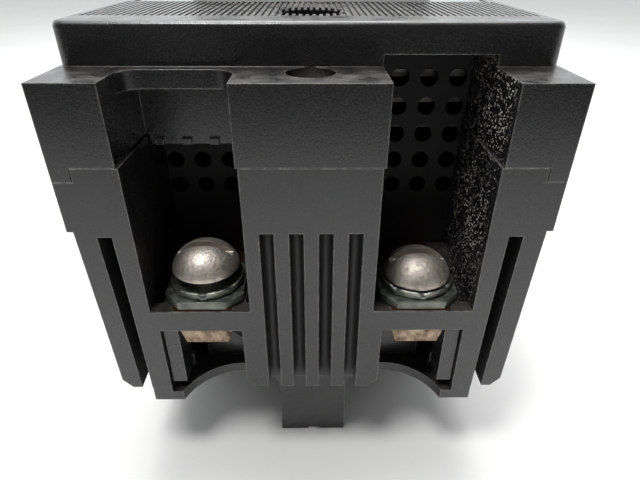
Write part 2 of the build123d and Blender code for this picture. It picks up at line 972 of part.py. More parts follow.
cradle_tip = (29.0, 60.0)
with BuildPart() as cradle:
    for side in SIDES:
        x_pair = (side * lower_link_x, side * (lower_link_x + link_thickness))
        bar_link(cradle_axis, (0.0, 60.5), 3.4, x_pair)
        bar_link((0.0, 60.5), cradle_tip, 2.6, x_pair)
        bar_link((-8.0, 60.0), link_top, 3.4, x_pair)
        rod(link_top, 1.4 + pivot_fit, x_pair, Mode.SUBTRACT)
    block(
        (-lower_link_x, lower_link_x),
        (cradle_tip[0] - 1.4, cradle_tip[0] + 1.4),
        (cradle_tip[1] - 1.6, cradle_tip[1] + 1.6),
    )
    rod(cradle_axis, pin_radius + 1.2, (-lower_link_x, lower_link_x))
    rod(cradle_axis, pin_radius, (-frame_inner, frame_inner), Mode.SUBTRACT)
save(cradle, "cradle")

with BuildPart() as upper_links:
    for side in SIDES:
        x_pair = (side * upper_link_x, side * (upper_link_x + link_thickness))
        bar_link(link_top, knee, 2.8, x_pair)
        rod(link_top, 1.4, x_pair, Mode.SUBTRACT)
        rod(knee, pin_radius, x_pair, Mode.SUBTRACT)
save(upper_links, "upper_links")

with BuildPart() as link_rivets:
    for side in SIDES:
        rod(link_top, 1.4, (side * upper_link_x, side * (lower_link_x + link_thickness)))
save(link_rivets, "upper_link_rivets")

with BuildPart() as knee_pin:
    rod(knee, pin_radius, (-lower_link_x - 1.1, lower_link_x + 1.1))
save(knee_pin, "knee_pin")

with BuildPart() as lower_links:
    for side in SIDES:
        x_pair = (side * lower_link_x, side * (lower_link_x + link_thickness))
        bar_link(link_foot, knee, 3.4, x_pair)
        rod(link_foot, pin_radius + pivot_fit, x_pair, Mode.SUBTRACT)
        rod(knee, pin_radius + open_pivot, x_pair, Mode.SUBTRACT)
save(lower_links, "lower_links")

# the springs hang between the bar under the yoke and the knee pin
spring_top = polar(handle_axis, spring_bar_radius, -handle_tilt)
pull = (spring_top[0] - knee[0], spring_top[1] - knee[1])
reach = hypot(pull[0], pull[1])
hook_wire = spring_wire / 2
coil_length = reach - coil_shorter
with BuildPart() as springs:
    for side in SIDES:
        lean = Plane(
            origin=(side * spring_x, knee[0], knee[1]),
            x_dir=(1, 0, 0),
            z_dir=(0, pull[0] / reach, pull[1] / reach),
        )
        coil = Helix(
            pitch=coil_pitch,
            height=coil_length,
            radius=spring_radius,
            center=lean.from_local_coords((0, 0, coil_start)),
            direction=lean.z_dir,
        )
        with BuildSketch(Plane(origin=coil @ 0, z_dir=coil % 0)) as wire:
            Circle(hook_wire)
        sweep(wire.sketch, path=coil)
        # closed lower eye round the knee pin, and a long upper eye round the bar
        hook_plane = Plane(
            origin=(side * spring_x - hook_wire, knee[0], knee[1]),
            x_dir=(0, pull[1] / reach, -pull[0] / reach),
            z_dir=(1, 0, 0),
        )
        with BuildSketch(hook_plane) as lower_eye:
            Circle(pin_radius + 0.1 + spring_wire)
            Circle(pin_radius + 0.1, mode=Mode.SUBTRACT)
        extrude(lower_eye.sketch, amount=spring_wire)
        with BuildSketch(hook_plane) as upper_eye:
            with Locations((0, reach - eye_drop)):
                SlotOverall(eye_length + 2 * spring_wire, eye_width + 2 * spring_wire, rotation=90)
                SlotOverall(eye_length, eye_width, rotation=90, mode=Mode.SUBTRACT)
        extrude(upper_eye.sketch, amount=spring_wire)
        with BuildSketch(hook_plane) as stems:
            with Locations((0, 2.9)):
                Rectangle(2 * spring_radius, 1.6)
            with Locations((0, coil_start + coil_length)):
                Rectangle(2 * spring_radius, 1.6)
        extrude(stems.sketch, amount=spring_wire)
save(springs, "toggle_springs")

# ---------------------------------------------------------------- handle
radial = (0, -sin(radians(handle_tilt)), cos(radians(handle_tilt)))
handle_plane = Plane(
    origin=(0, handle_axis[0], handle_axis[1]),
    x_dir=(1, 0, 0),
    z_dir=radial,
)
bridge_radius = barrel_radius - barrel_thickness - 0.9
bridge_thickness = 1.2
bridge_top = bridge_radius - 0.6
with BuildPart() as handle:
    with BuildSketch(Plane.YZ.offset(-barrel_half)) as barrel:
        with Locations(handle_axis):
            Circle(barrel_radius)
            Circle(barrel_radius - barrel_thickness, mode=Mode.SUBTRACT)
        with BuildLine():
            first = polar(handle_axis, 60.0, -handle_tilt - barrel_half_angle)
            second = polar(handle_axis, 60.0, -handle_tilt)
            third = polar(handle_axis, 60.0, barrel_half_angle - handle_tilt)
            Polyline(handle_axis, first, second, third, close=True)
        make_face(mode=Mode.INTERSECT)
    extrude(barrel.sketch, amount=2 * barrel_half)
    with BuildSketch(handle_plane.offset(barrel_radius - 1.0)) as root:
        RectangleRounded(2 * grip_half, grip_thickness, 1.2)
    extrude(root.sketch, amount=grip_tip - barrel_radius + 1.0, taper=3)
    tip_edges = handle.faces().sort_by(Axis(origin=(0, 0, 0), direction=radial))[-1].edges()
    fillet(tip_edges, radius=0.9)
    with BuildSketch(handle_plane.offset(bridge_top)) as boss:
        Rectangle(12.0, 7.0)
    extrude(boss.sketch, amount=2.4)
save(handle, "handle")

with BuildPart() as yoke:
    for side in SIDES:
        with BuildSketch(Plane.YZ.offset(side * yoke_x)) as leg:
            with Locations(handle_axis):
                Circle(5.0)
            with BuildLine():
                first = polar(handle_axis, 5.0, -handle_tilt - 70.0)
                second = polar(handle_axis, bridge_radius, -handle_tilt - 12.0)
                third = polar(handle_axis, bridge_radius, 12.0 - handle_tilt)
                fourth = polar(handle_axis, 5.0, 70.0 - handle_tilt)
                Polyline(first, second, third, fourth, close=True)
            make_face()
            with Locations(handle_axis):
                Circle(2.0 + pivot_fit, mode=Mode.SUBTRACT)
        extrude(leg.sketch, amount=side * yoke_thickness)
    with BuildSketch(handle_plane.offset(bridge_top - bridge_thickness)) as bridge:
        Rectangle(2 * yoke_x + 0.4, 9.0)
    extrude(bridge.sketch, amount=bridge_thickness)
    rod(spring_top, 1.0, (-yoke_x - 0.2, yoke_x + 0.2))
save(yoke, "handle_yoke")


# ---------------------------------------------------------------- trip unit
def load_strap(side):
    """Return the copper strap from the load terminal to the foot of the bimetal."""
    near = side * (terminal_x - strap_width / 2)
    far = side * (terminal_x + strap_width / 2)
    with BuildPart() as strap:
        block((near, far), (50.2, half_length - 0.3), (strap_bottom, strap_top))
        block(
            (side * chamber_inner + side * 0.4, far),
            (50.2, 50.2 + strap_thickness),
            (24.0, strap_bottom),
        )
        block(
            (side * (chamber_centre - bimetal_half), side * (chamber_centre + 1.7)),
            (bimetal_y + bimetal_thickness, 50.2 + strap_thickness),
            (22.4, 24.0),
        )
        centre = (side * terminal_x, terminal_y)
        post(centre, hole_radius + 0.1, (strap_bottom, strap_top), Mode.SUBTRACT)
    return strap


def bimetal(side):
    """Return the upright strip that bends when it is warm."""
    x_pair = (side * (chamber_centre - bimetal_half), side * (chamber_centre + bimetal_half))
    with BuildPart() as strip:
        block(x_pair, (bimetal_y, bimetal_y + bimetal_thickness), (20.0, bimetal_top))
        screw = (side * chamber_centre, bimetal_top - 3.0)
        with BuildSketch(Plane.XZ.offset(-bimetal_y - 2.0)) as hole:
            with Locations(screw):
                Circle(1.4)
        extrude(hole.sketch, amount=4.0, mode=Mode.SUBTRACT)
    return strip


def magnet(side):
    """Return the U-shaped iron yoke round the bimetal."""
    middle = side * chamber_centre
    z_pair = (magnet_bottom, magnet_bottom + magnet_height)
    with BuildPart() as core:
        block((middle - 6.4, middle + 6.4), (46.4, 48.4), z_pair)
        for face in SIDES:
            block((middle + face * 4.6, middle + face * 6.4), (39.4, 46.4), z_pair)
    return core


def armature(side):
    """Return the hinged iron plate that the magnet pulls in."""
    middle = side * chamber_centre
    with BuildPart() as plate:
        block(
            (middle - 6.4, middle + 6.4),
            (armature_y - armature_thickness, armature_y),
            (magnet_bottom, magnet_bottom + magnet_height + 3.0),
        )
        rod(
            (armature_y - armature_thickness / 2, magnet_bottom + magnet_height + 3.0),
            1.0,
            (middle - 8.4, middle + 8.4),
        )
    return plate


def braid(side):
    """Return the flexible copper braid from the hub of the arm to the bimetal."""
    start = (bar_axis[0] + hub_radius + 0.35, bar_axis[1])
    finish = (bimetal_y - 3.0, 23.0)
    with BuildPart() as strands:
        with BuildLine(Plane.YZ.offset(side * chamber_centre)) as path:
            FilletPolyline(
                start,
                (start[0] + 5.5, start[1]),
                (start[0] + 10.0, start[1] - 7.0),
                (finish[0] - 7.0, start[1] - 8.0),
                (finish[0] - 4.0, finish[1]),
                finish,
                radius=2.0,
            )
        start_plane = Plane(
            origin=path.wires()[0] @ 0,
            x_dir=(1, 0, 0),
            z_dir=path.wires()[0] % 0,
        )
        with BuildSketch(start_plane) as flat:
            Rectangle(2 * arm_half, 1.8)
        sweep(flat.sketch, path=path.wires()[0])
        block(
            (side * chamber_centre - arm_half, side * chamber_centre + arm_half),
            (bimetal_y - 4.0, bimetal_y),
            (20.6, 25.4),
        )
    return strands


for side, word in ((-1, "left"), (1, "right")):
    save(load_strap(side), f"load_strap_{word}")
    save(bimetal(side), f"bimetal_{word}")
    save(magnet(side), f"magnet_yoke_{word}")
    save(armature(side), f"armature_{word}")
    save(braid(side), f"flexible_braid_{word}")

with BuildPart() as calibration_screws:
    for side in SIDES:
        centre = (side * chamber_centre, bimetal_top - 3.0)
        with BuildSketch(Plane.XZ.offset(-bimetal_y - 4.4)) as stem:
            with Locations(centre):
                Circle(1.4)
        extrude(stem.sketch, amount=8.0)
        with BuildSketch(Plane.XZ.offset(-bimetal_y - 4.4)) as knob:
            with Locations(centre):
                Circle(2.3)
        extrude(knob.sketch, amount=1.4)
save(calibration_screws, "calibration_screws")

paddle_half = 0.8
with BuildPart() as trip_bar:
    rod(trip_axis, trip_radius, (-chamber_outer + 0.3, chamber_outer - 0.3))
    for side in SIDES:
        middle = side * chamber_centre
        block(
            (middle - 2.2, middle + 2.2),
            (trip_axis[0] - 0.8, trip_axis[0] + 0.8),
            (trip_axis[1], bimetal_top - 1.0),
        )
    block(
        (button_x - 3.0, button_x + 3.0),
        (button_y - 3.0, trip_axis[0]),
        (trip_axis[1] - paddle_half, trip_axis[1] + paddle_half),
    )
    block((-4.0, 4.0), (trip_axis[0] - 3.2, trip_axis[0] - 1.0), (54.0, trip_axis[1] + 1.0))
save(trip_bar, "trip_bar")

flange_top = cover_ceiling - 0.2
button_bottom = trip_axis[1] + paddle_half + button_gap
nose = (button_x, button_y - button_nose_offset)
with BuildPart() as trip_button:
    post((button_x, button_y), button_diameter / 2, (flange_top - 2.5, cover_top + button_proud))
    post((button_x, button_y), button_diameter / 2 + 0.8, (flange_top - 1.5, flange_top))
    post(nose, button_nose / 2, (button_bottom, flange_top))
save(trip_button, "trip_button")
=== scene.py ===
"""Finishes and finer pieces for a two-pole moulded case breaker.

Laid out as an add-on and run as a script.  Lengths are metres, X runs across
the poles, -Y is the line end and +Z points out of the panel.
"""
import json
import math

import bmesh
import bpy
from bpy.props import FloatProperty, FloatVectorProperty, IntProperty, PointerProperty
from mathutils import Matrix, Vector

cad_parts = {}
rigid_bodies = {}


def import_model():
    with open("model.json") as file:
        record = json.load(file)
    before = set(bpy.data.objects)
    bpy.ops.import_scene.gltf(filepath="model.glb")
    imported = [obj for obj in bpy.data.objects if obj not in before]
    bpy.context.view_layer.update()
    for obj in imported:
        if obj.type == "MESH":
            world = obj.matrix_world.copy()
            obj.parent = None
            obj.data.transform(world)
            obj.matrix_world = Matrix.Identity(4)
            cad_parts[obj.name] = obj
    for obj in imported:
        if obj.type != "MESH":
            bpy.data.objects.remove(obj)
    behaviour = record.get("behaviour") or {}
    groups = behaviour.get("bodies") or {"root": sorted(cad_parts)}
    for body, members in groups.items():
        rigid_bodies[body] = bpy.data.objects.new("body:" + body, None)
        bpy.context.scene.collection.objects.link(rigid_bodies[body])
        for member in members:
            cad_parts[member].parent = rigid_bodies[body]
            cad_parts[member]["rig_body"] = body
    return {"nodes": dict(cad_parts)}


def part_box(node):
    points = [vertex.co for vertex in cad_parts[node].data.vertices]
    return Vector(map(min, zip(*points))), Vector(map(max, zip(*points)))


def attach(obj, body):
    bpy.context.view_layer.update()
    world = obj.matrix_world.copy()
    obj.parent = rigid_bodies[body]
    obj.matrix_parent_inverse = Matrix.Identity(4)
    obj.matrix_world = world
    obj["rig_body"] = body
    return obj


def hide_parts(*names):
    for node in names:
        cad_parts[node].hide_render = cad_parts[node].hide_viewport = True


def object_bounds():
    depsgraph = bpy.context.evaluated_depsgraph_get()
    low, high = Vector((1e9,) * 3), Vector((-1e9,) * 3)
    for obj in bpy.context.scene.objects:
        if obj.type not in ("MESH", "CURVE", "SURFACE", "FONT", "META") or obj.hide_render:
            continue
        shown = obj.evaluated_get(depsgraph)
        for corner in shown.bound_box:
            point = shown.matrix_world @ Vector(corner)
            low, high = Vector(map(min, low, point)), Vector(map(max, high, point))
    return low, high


bl_info = {
    "name": "Moulded case breaker finishes",
    "version": (1, 0, 0),
    "blender": (4, 5, 0),
    "location": "3D View > Sidebar > Breaker",
    "description": "Finishes, finer pieces, light and camera for a moulded case breaker",
    "category": "Object",
}

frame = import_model()
NODES = frame["nodes"]
CAD_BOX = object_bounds()
MM = 0.001


def linear(code):
    """Turn an sRGB hex colour into the linear colour that Blender works in."""
    parts = [int(code[i : i + 2], 16) / 255 for i in (1, 3, 5)]
    return tuple(c / 12.92 if c <= 0.04045 else ((c + 0.055) / 1.055) ** 2.4 for c in parts) + (1,)


def colour(name, description, code):
    """Describe one colour that a user may change."""
    return FloatVectorProperty(
        name=name, description=description, default=linear(code),
        size=4, min=0, max=1, subtype="COLOR",
    )


def distance(name, description, millimetres):
    """Describe one small length that a user may change."""
    return FloatProperty(
        name=name, description=description, default=millimetres * MM,
        min=0.01 * MM, max=1000 * MM, precision=5, unit="LENGTH", subtype="DISTANCE",
    )


class BreakerSizes(bpy.types.PropertyGroup):
    """Sizes of edges, grain and wear."""

    moulding_edge: distance("Moulding edge", "Rounding on the phenolic mouldings", 0.26)
    metal_edge: distance("Metal edge", "Rounding left on pressed and headed metal", 0.14)
    mould_grain: distance("Mould grain", "Size of the pits in the moulded skin", 0.3)
    flow_mark: distance("Flow mark", "Size of the cloudy flow marks in the moulding", 14)
    dust_patch: distance("Dust patch", "Size of the patches of settled dust", 3.2)
    wear_reach: distance("Wear reach", "How far rubbing reaches in from an edge", 0.4)
    hammer_mark: distance("Hammer mark", "Size of the dimples on the headed screws", 0.45)
    speck_spacing: distance("Soot speck", "Spacing of the pale specks on the pocket walls", 0.42)
    speck_wall: distance("Speck wall", "Distance of the specked walls from the middle", 25.9)
    speck_draft: distance("Speck draft", "How far those walls lean to either side of it", 0.8)
    speck_depth: distance("Speck depth", "Depth in the pocket at which the specks are gone", 22.15)
    speck_fade: distance("Speck fade", "Length over which the specks fade out", 6)
    rolled_line: distance("Rolled line", "Spacing of the rolling lines on strip metal", 0.35)
    washer_rim: distance("Washer rim", "Width of the raised rim of a lock washer", 0.5)
    dust_amount: FloatProperty(
        name="Dust amount", description="How much dust lies on upward faces",
        default=0.5, min=0, max=1, subtype="FACTOR",
    )
    washer_steps: IntProperty(
        name="Washer steps", description="Facets round one lock washer", default=72, min=24, max=144,
    )
    washer_tabs: IntProperty(
        name="Washer tabs", description="Bent tabs round one lock washer", default=8, min=3, max=16,
    )


class BreakerColours(bpy.types.PropertyGroup):
    """Colours of the materials."""

    phenolic: colour("Phenolic", "Black phenolic body", "#141415")
    phenolic_cloud: colour("Phenolic cloud", "Paler flow marks in the phenolic", "#242425")
    grime: colour("Grime", "Brown handling grime", "#2a241d")
    dust: colour("Dust", "Settled shop dust", "#6b645a")
    rubbed: colour("Rubbed edge", "Phenolic rubbed pale on edges", "#84827c")
    # pale dust specks; the painted light keeps them faint on the shaded left wall
    speck: colour("Speck", "Pale dust specks, painted brighter on the lit right wall", "#f0ebe0")
    nickel: colour("Nickel", "Nickel plate on the screws", "#d6cec4")
    nickel_dull: colour("Dull nickel", "Worn nickel plate", "#c4bab0")
    zinc: colour("Zinc", "Zinc plate on washers and plates", "#9b9c92")
    zinc_dull: colour("Dull zinc", "Oxidised zinc plate", "#666c66")
    brass: colour("Brass", "Brass of the nuts", "#b3a08b")
    copper: colour("Copper", "Copper of the straps and arms", "#a5664a")
    tarnish: colour("Tarnish", "Brown tarnish on copper and brass", "#4a3225")
    silver: colour("Silver", "Silver contact metal", "#c6c3bc")
    steel: colour("Steel", "Bare steel of plates and pins", "#9b9b98")
    # this near-black colour is dark dirt, and also the painted shade in the grooves and pockets of the
    # mouldings
    dirt: colour("Dirt", "Dark dirt in corners and slots", "#0d0b09")
    button: colour("Button", "Red nylon of the trip button", "#8a130d")
    label: colour("Label", "Silver film of the blank rating label", "#6f7170")
    fibre: colour("Fibre", "Vulcanised fibre of the vents", "#151512")
    floor: colour("Floor", "Pale paper under the breaker", "#f5f4f2")


class BreakerStage(bpy.types.PropertyGroup):
    """Camera, light and floor."""

    camera_place: FloatVectorProperty(
        name="Camera place", description="Where the lens stands", size=3,
        default=(0.485 * MM, -140.31 * MM, 84.30 * MM), subtype="TRANSLATION", unit="LENGTH",
    )
    lens: FloatProperty(
        name="Lens", description="Focal length on a 36 mm wide sensor",
        default=27.2, min=5, max=200, unit="CAMERA",
    )
    pitch: FloatProperty(
        name="Pitch", description="How far the camera looks down",
        default=math.radians(30.944), unit="ROTATION", subtype="ANGLE",
    )
    yaw: FloatProperty(
        name="Yaw", description="How far the camera looks towards +X",
        default=math.radians(0.732), unit="ROTATION", subtype="ANGLE",
    )
    roll: FloatProperty(
        name="Roll", description="How far the camera is tipped",
        default=math.radians(0.215), unit="ROTATION", subtype="ANGLE",
    )
    overhead_place: FloatVectorProperty(
        name="Overhead light place", description="Where the soft light hangs", size=3,
        default=(0, 160 * MM, 500 * MM), subtype="TRANSLATION", unit="LENGTH",
    )
    overhead_width: distance("Overhead light width", "Width of the round soft light", 450)
    front_place: FloatVectorProperty(
        name="Front light place", description="Where the light over the terminals hangs", size=3,
        default=(-80 * MM, -160 * MM, 410 * MM), subtype="TRANSLATION", unit="LENGTH",
    )
    front_aim: FloatVectorProperty(
        name="Front light aim", description="The spot that the front light is aimed at", size=3,
        default=(5 * MM, -60 * MM, 30 * MM), subtype="TRANSLATION", unit="LENGTH",
    )
    front_radius: distance("Front light radius", "Radius of the front light", 60)
    front_cone: FloatProperty(
        name="Front light cone", description="How wide the front light spreads",
        default=math.radians(32), unit="ROTATION", subtype="ANGLE",
    )
    card_distance: distance("Card distance", "How far in front the dark card stands", 260)
    card_height: distance("Card height", "Height of the dark card", 60)
    card_gap: distance("Card gap", "Gap under the dark card", 2)
    overhead: FloatProperty(
        name="Overhead light", description="Strength of the soft light above and behind",
        default=3.0, min=0, max=100, unit="POWER",
    )
    front: FloatProperty(
        name="Front light", description="Strength of the soft light above the lens",
        default=4.2, min=0, max=100, unit="POWER",
    )
    wall_back: FloatProperty(
        name="Wall behind", description="Brightness of the room behind the breaker",
        default=1.7, min=0, max=5,
    )
    wall_front: FloatProperty(
        name="Room in front", description="Brightness of the room in front of the breaker",
        default=0.14, min=0, max=5,
    )


# ------------------------------------------------------------ shader building
def add(tree, kind, values=None, links=None, **settings):
    """Add one shader node with its settings, socket values and incoming links."""
    made = tree.nodes.new("ShaderNode" + kind)
    for name, value in settings.items():
        setattr(made, name, value)
    for socket, value in (values or {}).items():
        made.inputs[socket].default_value = value
    for socket, source in (links or {}).items():
        tree.links.new(source, made.inputs[socket])
    return made


def start_material(name, **values):
    """Start a material and return it with its tree, shader and object coordinates."""
    material = bpy.data.materials.new(name)
    material.use_nodes = True
    tree = material.node_tree
    shader = tree.nodes["Principled BSDF"]
    for socket, value in values.items():
        shader.inputs[socket.replace("_", " ")].default_value = value
    return material, tree, shader, add(tree, "TexCoord").outputs["Object"]


def patches(tree, place, size, low, high, top=1.0, stretch=(1, 1, 1), detail=5.0):
    """Return a mask of irregular patches of about one size."""
    moved = add(tree, "Mapping", {"Scale": stretch}, {"Vector": place})
    noise = add(
        tree, "TexNoise", {"Scale": 1 / size, "Detail": detail, "Roughness": 0.6},
        {"Vector": moved.outputs["Vector"]},
    )
    return add(
        tree, "MapRange", {"From Min": low, "From Max": high, "To Max": top},
        {"Value": noise.outputs["Fac"]},
    ).outputs["Result"]


def rubbed_edges(tree, place, reach, top):
    """Return a mask that is strongest where handling has rubbed an edge."""
    rounded = add(tree, "Bevel", {"Radius": reach}, samples=6)
    face = add(tree, "NewGeometry")
    same = add(
        tree, "VectorMath", None,
        {0: rounded.outputs["Normal"], 1: face.outputs["Normal"]}, operation="DOT_PRODUCT",
    )
    edge = add(
        tree, "MapRange", {"From Min": 0.985, "From Max": 0.86, "To Max": top},
        {"Value": same.outputs["Value"]},
    )
    broken = patches(tree, place, reach * 4, 0.34, 0.62)
    return add(
        tree, "Math", None, {0: edge.outputs["Result"], 1: broken}, operation="MULTIPLY",
    ).outputs[0]


def settled(tree, place, size, top):
    """Return a mask of dust lying in patches on faces that look up."""
    face = add(tree, "NewGeometry")
    up = add(tree, "SeparateXYZ", None, {0: face.outputs["Normal"]})
    flat = add(
        tree, "MapRange", {"From Min": 0.25, "From Max": 0.95, "To Max": top},
        {"Value": up.outputs["Z"]},
    )
    lying = patches(tree, place, size, 0.36, 0.68, detail=8)
    return add(
        tree, "Math", None, {0: flat.outputs["Result"], 1: lying}, operation="MULTIPLY",
    ).outputs[0]


def corners(tree, reach, top):
    """Return a mask that is strongest in corners, slots and holes."""
    shade = add(tree, "AmbientOcclusion", {"Distance": reach}, samples=6, only_local=True)
    return add(
        tree, "MapRange", {"From Min": 0.75, "From Max": 0.2, "To Max": top},
        {"Value": shade.outputs["AO"]},
    ).outputs["Result"]


def bumps(tree, shader, height, depth, strength=1.0):
    """Give the shader a bump of a real depth from a height mask."""
    bump = add(tree, "Bump", {"Distance": depth, "Strength": strength}, {"Height": height})
    tree.links.new(bump.outputs["Normal"], shader.inputs["Normal"])
    return bump


def moulded_skin(
    name, body, cloud, sizes, colours, ior, gloss, dusty, worn, grimy,
    painted_shade_amount=0.2, specks=False, edge=0.0,
):
    """Thermoset moulding: cloudy flow marks, fine pits, grime, dust, rubbed edges and painted shade in
    its grooves and pockets.
    """
    material, tree, shader, place = start_material(name, IOR=ior)
    flow = patches(tree, place, sizes.flow_mark, 0.35, 0.75, 0.75, (1, 1, 0.6))
    grain = patches(tree, place, sizes.mould_grain, 0.2, 0.8, detail=8)
    drag = patches(tree, place, 0.5 * MM, 0.56, 0.8, 0.22, (1, 1, 0.06))
    grime = patches(tree, place, 7 * MM, 0.45, 0.8, grimy, detail=9)
    dust = settled(tree, place, sizes.dust_patch, dusty)
    lodged = corners(tree, 1.4 * MM, dusty * 0.35)
    # painted shade: a 3 mm occlusion mask darkens grooves, slots and pockets towards near-black, where
    # shade falls
    shade = corners(tree, 3.0 * MM, painted_shade_amount)
    rubbed = rubbed_edges(tree, place, sizes.wear_reach, worn)
    tone = add(tree, "Mix", {6: body, 7: cloud}, {0: flow}, data_type="RGBA").outputs[2]
    tone = add(tree, "Mix", {7: colours.grime}, {0: grime, 6: tone}, data_type="RGBA").outputs[2]
    tone = add(tree, "Mix", {7: cloud}, {0: drag, 6: tone}, data_type="RGBA").outputs[2]
    tone = add(tree, "Mix", {7: colours.grime}, {0: lodged, 6: tone}, data_type="RGBA").outputs[2]
    tone = add(tree, "Mix", {7: colours.dust}, {0: dust, 6: tone}, data_type="RGBA").outputs[2]
    # the painted shade is mixed into the colour here
    tone = add(tree, "Mix", {7: colours.dirt}, {0: shade, 6: tone}, data_type="RGBA").outputs[2]
    tone = add(tree, "Mix", {7: colours.rubbed}, {0: rubbed, 6: tone}, data_type="RGBA").outputs[2]
    height = grain
    if specks:
        mask = dust_specks_lit_right(tree, place, sizes)
        tone = add(tree, "Mix", {7: colours.speck}, {0: mask, 6: tone}, data_type="RGBA").outputs[2]
        height = add(tree, "Math", None, {0: grain, 1: mask}, operation="ADD").outputs[0]
    tree.links.new(tone, shader.inputs["Base Color"])
    matt = add(
        tree, "MapRange", {"From Min": 0, "From Max": 1, "To Min": gloss, "To Max": gloss + 0.16},
        {"Value": grain},
    )
    dull = add(tree, "Math", None, {0: shade, 1: dust}, operation="ADD")
    rough = add(tree, "Math", None, {0: matt.outputs["Result"], 1: dull.outputs[0]}, operation="ADD")
    tree.links.new(rough.outputs[0], shader.inputs["Roughness"])
    bump = bumps(tree, shader, height, 0.011 * MM)
    if edge:
        rounded = add(tree, "Bevel", {"Radius": edge}, samples=8)
        tree.links.new(rounded.outputs["Normal"], bump.inputs["Normal"])
    return material


def dust_specks_lit_right(tree, place, sizes):
    """Return a mask of pale dust specks on the inner faces of the outer walls, most on the right:
    painted light, as the right wall is lit and the left one lies in shade.
    """
    at = add(tree, "SeparateXYZ", None, {0: place})
    face = add(tree, "SeparateXYZ", None, {0: add(tree, "NewGeometry").outputs["Normal"]})
    across = add(tree, "Math", None, {0: at.outputs["X"]}, operation="ABSOLUTE")
    wall = add(
        tree, "Math", {1: sizes.speck_wall, 2: sizes.speck_draft}, {0: across.outputs[0]},
        operation="COMPARE",
    )
    sign = add(tree, "Math", None, {0: at.outputs["X"]}, operation="SIGN")
    inward = add(
        tree, "Math", None, {0: face.outputs["X"], 1: sign.outputs[0]}, operation="MULTIPLY",
    )
    inward = add(tree, "Math", {1: -0.7}, {0: inward.outputs[0]}, operation="LESS_THAN")
    mouth = CAD_BOX[0][1]
    gone = mouth + sizes.speck_depth
    near = add(
        tree, "MapRange", {"From Min": gone, "From Max": gone - sizes.speck_fade},
        {"Value": at.outputs["Y"]},
    )
    # the front edge of each wall is wiped clean
    front = add(
        tree, "MapRange", {"From Min": mouth + 0.55 * MM, "From Max": mouth + 3.15 * MM},
        {"Value": at.outputs["Y"]},
    )
    # painted light: the left wall keeps only a faint share of the specks because it lies in shade, the
    # right wall is lit
    share = add(
        tree, "MapRange", {"From Min": -1 * MM, "From Max": 1 * MM, "To Min": 0.06, "To Max": 1.0},
        {"Value": at.outputs["X"]},
    )
    cell = add(tree, "TexVoronoi", {"Scale": 1 / sizes.speck_spacing}, {"Vector": place})
    dot = add(
        tree, "MapRange", {"From Min": 0.42, "From Max": 0.26}, {"Value": cell.outputs["Distance"]},
    )
    chosen = add(tree, "Math", {1: 0.42}, {0: cell.outputs["Color"]}, operation="GREATER_THAN")
    drift = patches(tree, place, 5 * MM, 0.34, 0.56, detail=8)
    mask = share.outputs["Result"]
    high = add(
        tree, "MapRange", {"From Min": 24 * MM, "From Max": 46 * MM, "To Min": 0.5},
        {"Value": at.outputs["Z"]},
    )
    for part in (wall, inward, near, front, high, dot, chosen):
        source = part.outputs[0]
        mask = add(tree, "Math", None, {0: mask, 1: source}, operation="MULTIPLY").outputs[0]
    return add(tree, "Math", None, {0: mask, 1: drift}, operation="MULTIPLY").outputs[0]


def worked_metal(name, bright, dull, sizes, colours, gloss, dirty, size, stretch=(1, 1, 1), depth=0.01):
    """Worked metal: two tones of plate or tarnish in patches, tool marks and dirt in corners."""
    material, tree, shader, place = start_material(name, Metallic=1.0)
    cast = patches(tree, place, size * 6, 0.38, 0.68, detail=8)
    marks = patches(tree, place, size, 0.3, 0.7, 1.0, stretch, 4)
    dirt = corners(tree, 1.6 * MM, dirty)
    film = patches(tree, place, size * 3, 0.5, 0.8, dirty * 0.4, detail=9)
    dirt = add(tree, "Math", None, {0: dirt, 1: film}, operation="MAXIMUM").outputs[0]
    tone = add(tree, "Mix", {6: bright, 7: dull}, {0: cast}, data_type="RGBA").outputs[2]
    tone = add(tree, "Mix", {7: colours.dirt}, {0: dirt, 6: tone}, data_type="RGBA").outputs[2]
    tree.links.new(tone, shader.inputs["Base Color"])
    matt = add(
        tree, "MapRange", {"To Min": gloss - 0.08, "To Max": gloss + 0.14}, {"Value": marks},
    )
    rough = add(tree, "Math", None, {0: matt.outputs["Result"], 1: dirt}, operation="ADD")
    tree.links.new(rough.outputs[0], shader.inputs["Roughness"])
    bumps(tree, shader, marks, depth * MM)
    return material


def pressed_fibre(name, body, fleck, sizes, colours, dusty):
    """Vulcanised fibre: matt sheet with short paper fibres showing and soot in the holes."""
    material, tree, shader, place = start_material(name, IOR=1.5)
    threads = patches(tree, place, 0.5 * MM, 0.5, 0.75, 0.7, (0.2, 1, 1))
    cross = patches(tree, place, 0.5 * MM, 0.5, 0.75, 0.7, (1, 1, 0.2))
    weave = add(tree, "Math", None, {0: threads, 1: cross}, operation="MAXIMUM").outputs[0]
    soot = corners(tree, 1.5 * MM, 0.7)
    dust = settled(tree, place, sizes.dust_patch, dusty)
    tone = add(tree, "Mix", {6: body, 7: fleck}, {0: weave}, data_type="RGBA").outputs[2]
    tone = add(tree, "Mix", {7: colours.dirt}, {0: soot, 6: tone}, data_type="RGBA").outputs[2]
    tone = add(tree, "Mix", {7: colours.dust}, {0: dust, 6: tone}, data_type="RGBA").outputs[2]
    tree.links.new(tone, shader.inputs["Base Color"])
    matt = add(tree, "MapRange", {"To Min": 0.62, "To Max": 0.8}, {"Value": weave})
    tree.links.new(matt.outputs["Result"], shader.inputs["Roughness"])
    bumps(tree, shader, weave, 0.02 * MM)
    return material


def wear_it(material, *names):
    """Put a finish on pieces."""
    for name in names:
        piece = bpy.data.objects[name]
        piece.data.materials.clear()
        piece.data.materials.append(material)


